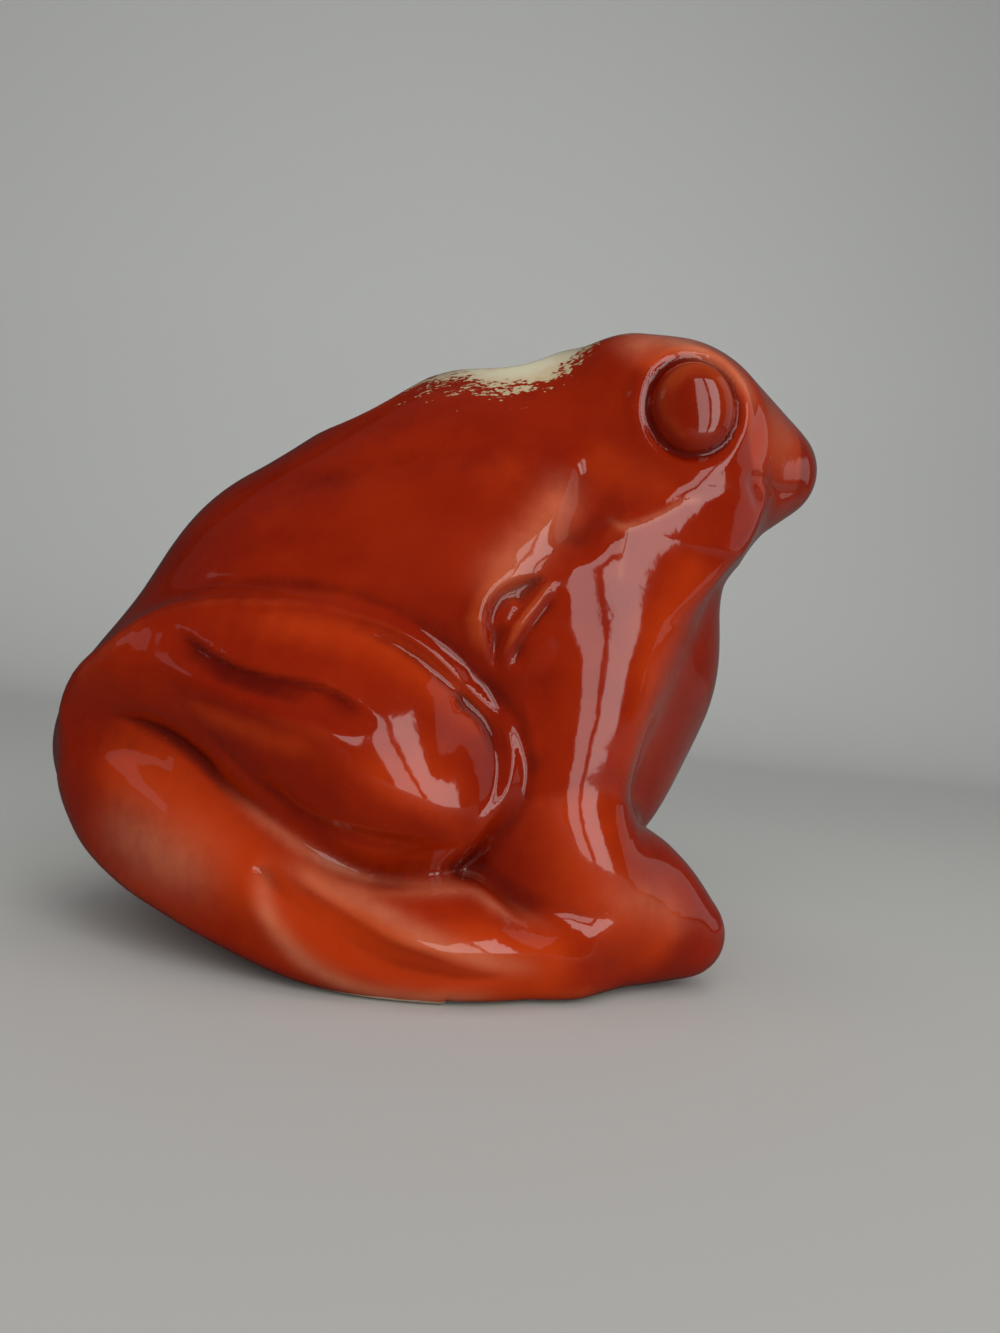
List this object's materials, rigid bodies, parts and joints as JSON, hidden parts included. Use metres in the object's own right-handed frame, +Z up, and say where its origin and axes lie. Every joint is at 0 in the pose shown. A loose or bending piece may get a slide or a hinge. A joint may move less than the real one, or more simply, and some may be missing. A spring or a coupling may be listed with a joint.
{
  "type": "toothbrush holder",
  "caption": "Squatting glazed ceramic frog, hollow, whose back has holes that hold toothbrushes upright over an open well.",
  "frame": {"origin": "middle of the ground contact under the frog, at the centre of its box", "axes": "+X the way the frog faces, +Y its left side, +Z up"},
  "size_m": [0.0901, 0.0602, 0.0745],
  "materials": {
    "red_glaze": "high gloss orange-red glaze, darker where it pools in the creases",
    "red_glaze_deep": "high gloss, deeper orange-red glaze",
    "cream_glaze": "gloss cream glaze, sprayed thin at its edges",
    "bare_clay": "bare fired clay, matt"
  },
  "bodies": {
    "root": {"back_saddle": "cream_glaze", "body_shell_left": "red_glaze", "body_shell_right": "red_glaze", "base_floor": "bare_clay", "head": "red_glaze", "eye_left": "red_glaze_deep", "eye_right": "red_glaze_deep", "thigh_left": "red_glaze", "thigh_right": "red_glaze", "hind_foot_left": "red_glaze", "hind_foot_right": "red_glaze", "foreleg_left": "red_glaze", "foreleg_right": "red_glaze", "front_foot_left": "red_glaze", "front_foot_right": "red_glaze"}
  },
  "joints": []
}
